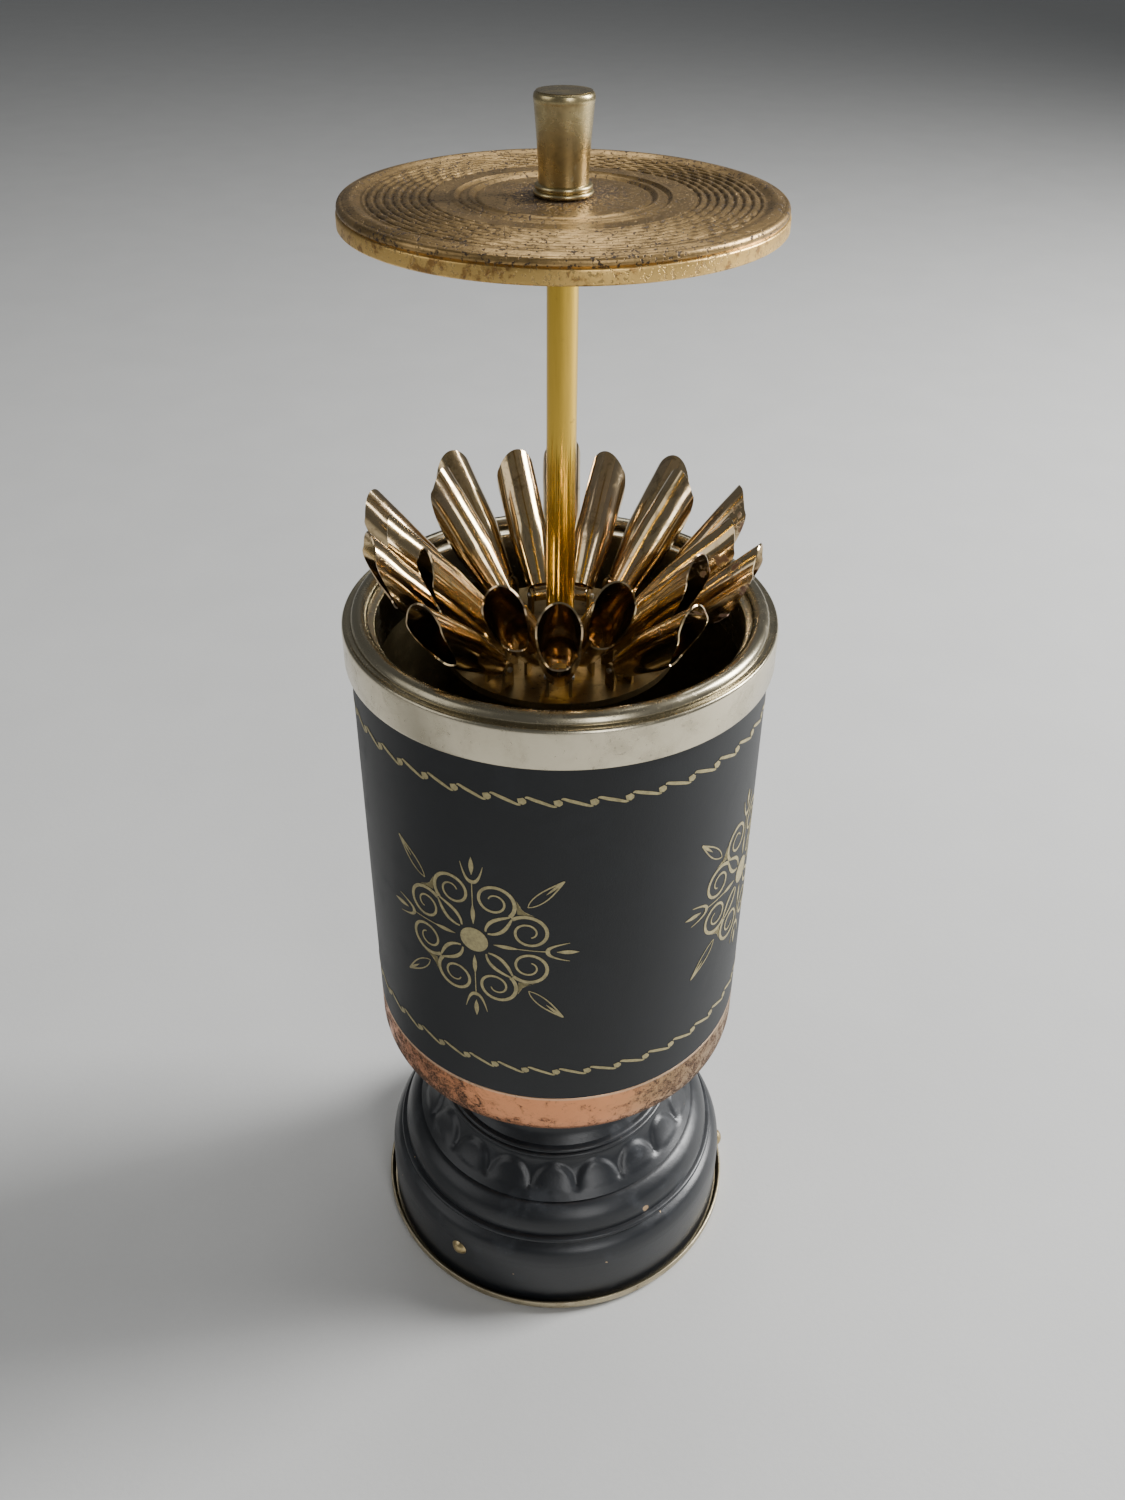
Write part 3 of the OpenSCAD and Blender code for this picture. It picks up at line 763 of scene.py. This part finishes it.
def leaf(bm, turn, start, stop, half_width):
    """A pointed leaf along a ray, filled."""
    spine = [turn @ Vector((start + (stop - start) * t, 0)) for t in shares(10)]
    stroke(bm, spine, [max(0.05, 2 * half_width * math.sin(math.pi * t)) for t in shares(10)])


def rosette_mesh(bm):
    """Disc, four double leaves with scrolls, four stems with buds and four outer leaves."""
    patch(bm, [Matrix.Rotation(TAU * i / 28, 2) @ Vector((3.3, 0)) for i in range(28)])
    for quarter in range(4):
        ray = Matrix.Rotation(math.radians(45 + 90 * quarter), 2)
        stem = Matrix.Rotation(math.radians(90 * quarter), 2)
        for side in (1, -1):
            vein = [Vector((4.3 + 7.7 * t, side * (0.35 + 1.25 * math.sin(math.pi * t ** 0.8))))
                    for t in shares(12)]
            stroke(bm, [ray @ p for p in vein],
                   [0.4 + 0.45 * math.sin(math.pi * t) for t in shares(12)])
            centre = Vector((12.1, side * 5.2))
            curl = []
            for t in shares(48):
                angle = side * math.radians(-90 + 560 * t)
                curl.append(centre + (4.8 - 3.5 * t) * Vector((math.cos(angle), math.sin(angle))))
            stroke(bm, [ray @ p for p in curl], [0.9 - 0.6 * t for t in shares(48)])
            edge = [Vector((17.2 + 10.6 * t, side * 1.15 * math.sin(math.pi * t ** 0.75)))
                    for t in shares(12)]
            stroke(bm, [ray @ p for p in edge], [0.2 + 0.2 * t for t in shares(12)])
            wing = [Vector((16.3 + 4.7 * t * t, side * 2.6 * t ** 0.8)) for t in shares(8)]
            stroke(bm, [stem @ p for p in wing], [1.0 - 0.88 * t for t in shares(8)])
        calyx = [(14.0, 0), (15.3, 1.3), (16.5, 2.7), (15.8, 1.0), (15.7, -1.0), (16.5, -2.7),
                 (15.3, -1.3)]
        patch(bm, [ray @ Vector(p) for p in calyx])
        leaf(bm, stem, 4.5, 10.2, 0.5)
        leaf(bm, stem, 18.2, 23.0, 0.55)
        stroke(bm, [stem @ Vector((9.6 + 6.8 * t, 0)) for t in shares(4)], [0.22] * 5)
        leaf(bm, ray, 22.6, 28.0, 0.3)


def wave_mesh(bm, pitch):
    """One wave of the border: a small lozenge and the S-shaped stroke to the next one."""
    path = [(0.1, 0.85), (0.16, 1.02), (0.34, 0.55), (0.62, -0.15), (0.88, -0.85), (0.98, -0.95)]
    points = [Vector((p.x * pitch, p.y)) for p in smoothed([Vector(p) for p in path])]
    stroke(bm, points, [0.2 + 0.55 * math.sin(math.pi * t) for t in shares(len(points) - 1)])
    lozenge = [(0.95, 0.25), (0.3, 0.85), (-0.85, 0.5), (-0.6, -0.6), (0.35, -0.85), (0.95, -0.35)]
    patch(bm, [Vector(p) for p in lozenge])


def wrap(piece, thickness):
    """Thickens flat print and rolls it round the sleeve; x runs round it and y up it."""
    modify(piece, "SOLIDIFY", thickness=thickness, offset=1.0)
    base = SLEEVE_R + 0.01

    def move(place):
        radius = base + max(place.z, 0)
        angle = place.x / SLEEVE_R
        return Vector((radius * math.cos(angle), radius * math.sin(angle), place.y))

    sculpt(piece, move)
    edit(piece)
    bpy.ops.mesh.normals_make_consistent(inside=False)
    leave()


def printed(name, draw):
    """A flat mesh object drawn by draw(bm), in millimetres."""
    mesh = bpy.data.meshes.new(name)
    bm = bmesh.new()
    draw(bm)
    bmesh.ops.transform(bm, matrix=Matrix.Scale(MM, 4), verts=bm.verts)
    bm.to_mesh(mesh)
    bm.free()
    piece = bpy.data.objects.new(name, mesh)
    bpy.context.scene.collection.objects.link(piece)
    return piece


# ---- holders ----
def mouth_height(angle, lip, tongue):
    """Height of a holder's cut edge, from the low front lip over a shoulder to the tall tongue."""
    away = abs(angle)
    shoulder = tongue - 3.2
    if away < SHOULDER:
        return lip + (shoulder - lip) * smooth((away - FRONT) / (SHOULDER - FRONT))
    beyond = (away - SHOULDER) / (math.pi - SHOULDER)
    return shoulder + (tongue - shoulder) * math.sin(beyond * math.pi / 2)


def rolled_tube(sizes):
    """One rolled sheet, upright on its pivot: front lip towards +X, pin along Y."""
    lip, tongue = sizes.lip / MM, sizes.tongue / MM
    foot, mouth, flare = sizes.foot / MM, sizes.mouth / MM, sizes.flare / MM
    low = HOLDER_LOW
    outline = [Vector((mouth, 0, low + (tongue - low) * t)) for t in shares(26)]
    tube = turned("rolled_tube", outline, steps=56, closed=False)

    def move(place):
        _, angle = polar(place)
        share = (place.z - low) / (tongue - low)
        height = low + (mouth_height(angle, lip, tongue) - low) * share
        radius = foot + (mouth - foot) * min(1.0, (height - low) / CONE)
        turn_out = bell_curve(abs(angle) - math.radians(72), math.radians(34)) * share ** 5
        radius += flare * (turn_out - 0.35 * smooth((height - 24) / 8))
        return Vector((radius * math.cos(angle), radius * math.sin(angle), height))

    sculpt(tube, move)
    modify(tube, "SOLIDIFY", thickness=sizes.sheet, offset=-1.0, material_offset=1)
    soften(tube, 50)
    return tube


def hinge_knuckle():
    """Folded strap at the foot of a holder, rolled round its pin."""
    outline = flowing([(0.65, -1.7), (1.35, -1.7)], [(1.5, -1.55)], [(1.5, 1.55)],
                      [(1.35, 1.7), (0.65, 1.7)])
    knuckle = turned("knuckle", outline, steps=32)
    edit(knuckle)
    bpy.ops.transform.rotate(value=math.pi / 2, orient_axis="X", center_override=(0, 0, 0))
    leave()
    middle = (0, 0, 1.75 * MM)
    strap = primitive("strap", bpy.ops.mesh.primitive_cube_add, size=MM, location=middle)
    edit(strap)
    bpy.ops.transform.resize(value=(2.0, 3.2, 1.7), center_override=middle)
    bpy.ops.mesh.bevel(offset=0.25 * MM, segments=2, affect="EDGES")
    leave()
    return [knuckle, strap]


# ---- operators ----
class CarouselOperator:
    bl_options = {"REGISTER", "UNDO"}

    def sizes(self, context):
        return context.scene.carousel_sizes

    def colours(self, context):
        return context.scene.carousel_colours


class CAROUSEL_OT_pedestal(CarouselOperator, bpy.types.Operator):
    """Bell with its petals, and the winding tray under it"""

    bl_idname = "carousel.pedestal"
    bl_label = "Pedestal"

    def execute(self, context):
        sizes, colours = self.sizes(context), self.colours(context)
        bell = turned("bell_shell", bell_outline(), steps=360)
        raise_petals(bell, sizes.petals, sizes.petal)
        soften(bell, 40)
        settle(bell, "pedestal", "black_enamel", satin_enamel(colours.enamel),
               "pedestal_drum", "pedestal_bell", "pedestal_neck", "pedestal_cap")
        tray = turned("tray_dish", tray_outline(), steps=256)
        pale = plated("tray_gold", colours.champagne, (0.20, 0.16, 0.09), 0.3, 0.7, 6, 0.5)
        settle(tray, "winding_tray", "tray_brass", pale, "base_tray")
        return {"FINISHED"}


class CAROUSEL_OT_cup(CarouselOperator, bpy.types.Operator):
    """Sleeve, copper foot band and rim ring of the cup"""

    bl_idname = "carousel.cup"
    bl_label = "Cup"

    def execute(self, context):
        colours = self.colours(context)
        sleeve = turned("sleeve_shell", sleeve_outline(), steps=256)
        settle(sleeve, "pedestal", "sleeve_black", matte_sleeve(colours.sleeve), "outer_sleeve")
        band = turned("copper_band", band_outline(), steps=256)
        settle(band, "pedestal", "copper", worn_copper(colours.copper), "foot_band")
        rim = turned("rim_shell", rim_outline(), steps=256)
        nickel = plated("rim_nickel", colours.nickel, (0.25, 0.215, 0.135), 0.19, 0.36, 8, 0.3,
                        darker_above=RIM_TOP - 2.3)
        settle(rim, "pedestal", "rim_nickel", nickel, "rim_ring")
        return {"FINISHED"}


class CAROUSEL_OT_print(CarouselOperator, bpy.types.Operator):
    """Gold rosettes and wave borders printed on the sleeve"""

    bl_idname = "carousel.print"
    bl_label = "Gold print"

    def execute(self, context):
        sizes = self.sizes(context)
        ink = gold_print(self.colours(context).print)
        first = printed("rosettes", rosette_mesh)
        rosettes = [first] + [copy_of(first) for _ in range(sizes.rosettes - 1)]
        quarter = TAU * SLEEVE_R / sizes.rosettes
        for number, rosette in enumerate(rosettes):
            self.shift(rosette, ROSETTE_HEADING * SLEEVE_R + number * quarter, ROSETTE_HEIGHT)
        settle(self.wrapped(rosettes, sizes), "pedestal", "screw_brass", ink)
        pitch = TAU * SLEEVE_R / sizes.waves
        first = printed("wave_borders", lambda bm: wave_mesh(bm, pitch))
        waves = [first] + [copy_of(first) for _ in range(2 * sizes.waves - 1)]
        for number, wave in enumerate(waves):
            self.shift(wave, (number // 2) * pitch, BORDER_HEIGHTS[number % 2])
        settle(self.wrapped(waves, sizes), "pedestal", "screw_brass", ink)
        return {"FINISHED"}

    def shift(self, piece, along, up):
        piece.data.transform(Matrix.Translation(Vector((along, up, 0)) * MM))

    def wrapped(self, pieces, sizes):
        whole = joined(pieces)
        wrap(whole, sizes.print_height)
        return whole


class CAROUSEL_OT_lid(CarouselOperator, bpy.types.Operator):
    """Stamped lid, knob and pull-up rod"""

    bl_idname = "carousel.lid"
    bl_label = "Lid and rod"

    def execute(self, context):
        sizes, colours = self.sizes(context), self.colours(context)
        lid = turned("lid_disc", lid_outline(), steps=360)
        cut_grooves(lid, sizes.groove)
        soften(lid, 50)
        settle(lid, "carriage", "lid_brass", aged_lid(colours.aged), "lid_plate")
        knob = turned("knob_turned", knob_outline(), steps=96)
        nickel = plated("knob_nickel", colours.knob, (0.22, 0.17, 0.09), 0.22, 0.7, 5, 0.5,
                        darker_above=KNOB_TOP - 0.25)
        settle(knob, "carriage", "knob_nickel", nickel, "knob")
        bore = ROD_R - ROD_WALL
        walls = flowing([(ROD_R, ROD_LOW), (ROD_R, ROD_TOP)], [(bore, ROD_TOP), (bore, ROD_LOW)])
        rod = turned("rod_polished", walls, steps=96)
        settle(rod, "carriage", "rod_brass", polished_rod(colours.brass), "rod_tube")
        return {"FINISHED"}


class CAROUSEL_OT_holders(CarouselOperator, bpy.types.Operator):
    """Twenty rolled holders on their hinges"""

    bl_idname = "carousel.holders"
    bl_label = "Holders"

    def execute(self, context):
        sizes, base = self.sizes(context), self.colours(context).holder
        tube = rolled_tube(sizes)
        knuckle = joined(hinge_knuckle())
        outer, inner = rolled_brass(base, False), rolled_brass(base, True)
        for number, fold in enumerate(FOLDS):
            pivot = Vector(fold["pos_m"])
            heading = math.atan2(pivot.y, pivot.x)
            lean = math.radians(-fold["range_deg"][0] - FOLD_MARGIN_DEG)
            twist = math.radians(14 * math.sin(math.radians(97 * number)))
            stand = (Matrix.Translation(pivot) @ Matrix.Rotation(heading, 4, "Z")
                     @ Matrix.Rotation(lean, 4, "Y"))
            roll, foot = copy_of(tube), copy_of(knuckle)
            self.dent(roll, number)
            roll.data.transform(stand @ Matrix.Rotation(twist, 4, "Z"))
            foot.data.transform(stand)
            for piece in (roll, foot):
                piece.data.materials.clear()
                piece.data.materials.append(outer)
                piece.data.materials.append(inner)
            holder = joined([roll, foot])
            holder.name = holder.data.name = "rolled_" + fold["child"]
            settle(holder, fold["child"], "holder_brass", None, fold["child"])
        for model in (tube, knuckle):
            bpy.data.objects.remove(model)
        return {"FINISHED"}

    def dent(self, piece, number):
        """Slight hand-made unevenness, stronger towards the mouth."""
        def move(place):
            seed = Vector((number * 7.3, number * 3.1, 0))
            push = DENT * noise.noise(place * 0.16 + seed) * smooth((place.z - 6) / 14)
            return Vector((place.x * (1 + push), place.y * (1 - push), place.z))

        sculpt(piece, move)


class CAROUSEL_OT_finishes(CarouselOperator, bpy.types.Operator):
    """Finishes of the pieces that keep the frame's own shape"""

    bl_idname = "carousel.finishes"
    bl_label = "Finishes"

    def execute(self, context):
        # The can is dark brass: painted shade of the deep cup, over its tarnish.
        can = plated("cup_brass", (0.34, 0.27, 0.14), (0.12, 0.09, 0.045), 0.36, 0.8, 9, 0.5)
        works = plated("movement_brass", (0.76, 0.60, 0.28), (0.36, 0.26, 0.12), 0.28, 0.5, 6, 0.2)
        steel = plated("bright_steel", (0.60, 0.60, 0.60), (0.30, 0.28, 0.26), 0.28, 0.5, 5, 0.3)
        # The hub is darker still: painted shade under the holders, over its tarnish.
        hub = plated("hub_brass", (0.30, 0.215, 0.095), (0.09, 0.062, 0.03), 0.34, 0.8, 5, 0.7)
        screw = plated("screw_brass", (0.50, 0.39, 0.20), (0.24, 0.17, 0.08), 0.26, 0.7, 2.5, 0.5)
        liner = pressed_fibre("grey_liner", (0.22, 0.22, 0.21))
        ring = pressed_fibre("dark_fibre", (0.05, 0.045, 0.04))
        wood, felt = turned_beech(), green_felt()
        groups = {
            can: ["cup_can"], felt: ["tray_felt"], wood: ["movement_block"], ring: ["thrust_ring"],
            liner: ["lid_liner"], hub: ["holder_hub", "rod_bush"], screw: ["bell_screws"],
            works: ["neck_bush", "bedplate", "movement_bridge", "bridge_posts", "spring_barrel",
                    "pin_cylinder"],
            steel: ["winding_arbor", "neck_nut", "comb", "mainspring", "guide_post", "governor",
                    "hinge_pins", "knob_stud"],
        }
        for material, names in groups.items():
            for name in names:
                node = frame["nodes"][name]
                node.data.materials.clear()
                node.data.materials.append(material)
        return {"FINISHED"}


class CAROUSEL_OT_stage(CarouselOperator, bpy.types.Operator):
    """Pale floor, soft studio light and the camera"""

    bl_idname = "carousel.stage"
    bl_label = "Stage"

    def execute(self, context):
        floor = primitive("floor", bpy.ops.mesh.primitive_plane_add, size=6, location=(0, 0, 0))
        floor.data.materials.append(pale_floor())
        for lamp in LAMPS:
            self.lamp(*lamp)
        self.sky(context)
        self.camera(context)
        return {"FINISHED"}

    def lamp(self, name, place, size, power):
        light = bpy.data.lights.new(name, "AREA")
        light.shape, light.size, light.size_y, light.energy = "RECTANGLE", *size, power
        lamp = bpy.data.objects.new(name, light)
        lamp.location = place
        lamp.rotation_euler = (LIT - Vector(place)).to_track_quat("-Z", "Y").to_euler()
        bpy.context.scene.collection.objects.link(lamp)

    def sky(self, context):
        world = bpy.data.worlds.new("studio")
        world.use_nodes = True
        background = world.node_tree.nodes["Background"]
        background.inputs["Color"].default_value = (0.66, 0.68, 0.70, 1)
        background.inputs["Strength"].default_value = 0.2
        context.scene.world = world

    def camera(self, context):
        data = bpy.data.cameras.new("camera")
        data.sensor_fit, data.sensor_height, data.lens = "VERTICAL", SENSOR_HEIGHT, LENS
        data.clip_start = 0.01
        camera = bpy.data.objects.new("camera", data)
        camera.location = CAMERA_PLACE
        aim = (Matrix.Rotation(math.pi / 2 - CAMERA_DOWN, 3, "X")
               @ Matrix.Rotation(CAMERA_ROLL, 3, "Z"))
        camera.rotation_euler = aim.to_euler()
        context.scene.collection.objects.link(camera)
        context.scene.camera = camera


PIECES = (CAROUSEL_OT_pedestal, CAROUSEL_OT_cup, CAROUSEL_OT_print, CAROUSEL_OT_lid,
          CAROUSEL_OT_holders, CAROUSEL_OT_finishes, CAROUSEL_OT_stage)


class CAROUSEL_PT_panel(bpy.types.Panel):
    """Lists the pieces of the carousel and their sizes and colours"""

    bl_idname = "CAROUSEL_PT_panel"
    bl_label = "Cigarette carousel"
    bl_space_type = "VIEW_3D"
    bl_region_type = "UI"
    bl_category = "Carousel"

    def draw(self, context):
        for group in (context.scene.carousel_sizes, context.scene.carousel_colours):
            for name in group.__annotations__:
                self.layout.prop(group, name)
        for piece in PIECES:
            self.layout.operator(piece.bl_idname)


CLASSES = (CarouselSizes, CarouselColours, *PIECES, CAROUSEL_PT_panel)


def register():
    for item in CLASSES:
        bpy.utils.register_class(item)
    bpy.types.Scene.carousel_sizes = bpy.props.PointerProperty(type=CarouselSizes)
    bpy.types.Scene.carousel_colours = bpy.props.PointerProperty(type=CarouselColours)


def unregister():
    del bpy.types.Scene.carousel_colours
    del bpy.types.Scene.carousel_sizes
    for item in reversed(CLASSES):
        bpy.utils.unregister_class(item)


def main():
    register()
    bpy.ops.carousel.pedestal()
    bpy.ops.carousel.cup()
    bpy.ops.carousel.print()
    bpy.ops.carousel.lid()
    bpy.ops.carousel.holders()
    bpy.ops.carousel.finishes()
    bpy.ops.carousel.stage()


if __name__ == "__main__":
    main()
